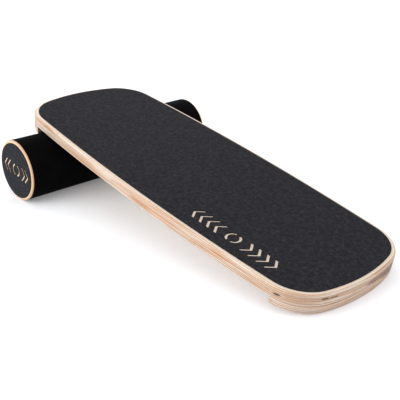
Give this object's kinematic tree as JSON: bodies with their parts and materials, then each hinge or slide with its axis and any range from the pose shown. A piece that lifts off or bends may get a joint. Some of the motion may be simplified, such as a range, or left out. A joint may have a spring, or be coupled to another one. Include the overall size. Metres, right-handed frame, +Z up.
{
  "type": "balance board",
  "caption": "Bow-sided plywood balance board with a dark grip top and an end stop under each end, tilted on a loose rubber-sleeved roller with plywood end discs.",
  "frame": {"origin": "middle of the whole object's box on the floor, with the board stored tilted: roller against the stop at the -X end, the other stop on the floor", "axes": "+X along the board towards the end that is on the floor, +Y along the roller's axis, +Z up"},
  "size_m": [0.71, 0.4054, 0.1448],
  "materials": {
    "birch_ply": "clear-lacquered birch plywood with its plies showing on the edges",
    "deck_grip": "fine mineral grit on a charcoal sheet, matt",
    "face_grip": "fine mineral grit on a charcoal disc, matt",
    "sleeve_rubber": "smooth black rubber, satin",
    "tube_board": "spiral-wound board, matt",
    "zinc_steel": "zinc-plated"
  },
  "bodies": {
    "core": {"core_tube": "tube_board"},
    "tilt_carrier": {"centre_disc": "birch_ply"},
    "deck": {"deck_board": "birch_ply", "grip_sheet": "deck_grip", "roller_end_stop": "birch_ply", "floor_end_stop": "birch_ply", "roller_end_screw_1": "zinc_steel", "roller_end_screw_2": "zinc_steel", "roller_end_screw_3": "zinc_steel", "roller_end_screw_4": "zinc_steel", "floor_end_screw_1": "zinc_steel", "floor_end_screw_2": "zinc_steel", "floor_end_screw_3": "zinc_steel", "floor_end_screw_4": "zinc_steel"},
    "roller": {"roller_sleeve": "sleeve_rubber", "near_end_disc": "birch_ply", "near_end_plug": "birch_ply", "near_face_pad": "face_grip", "near_disc_screw_1": "zinc_steel", "near_disc_screw_2": "zinc_steel", "near_disc_screw_3": "zinc_steel", "far_end_disc": "birch_ply", "far_end_plug": "birch_ply", "far_face_pad": "face_grip", "far_disc_screw_1": "zinc_steel", "far_disc_screw_2": "zinc_steel", "far_disc_screw_3": "zinc_steel"}
  },
  "joints": [
    {"name": "deck_tilt", "type": "hinge", "parent": "core", "child": "tilt_carrier", "pos_m": [-0.2612, 0, 0.055], "axis": [0, -1, 0], "range_deg": [0, 18.2]},
    {"name": "deck_travel", "type": "slide", "parent": "tilt_carrier", "child": "deck", "axis": [-0.9874, 0, 0.1584], "range_m": [0, 0.51]},
    {"name": "roller_spin", "type": "hinge", "parent": "tilt_carrier", "child": "roller", "pos_m": [-0.2612, 0, 0.055], "axis": [0, -1, 0], "range_deg": [0, 531.8]}
  ],
  "couplings": [
    {"joint": "roller_spin", "follows": "deck_travel", "rad_per_m": 18.182}
  ]
}
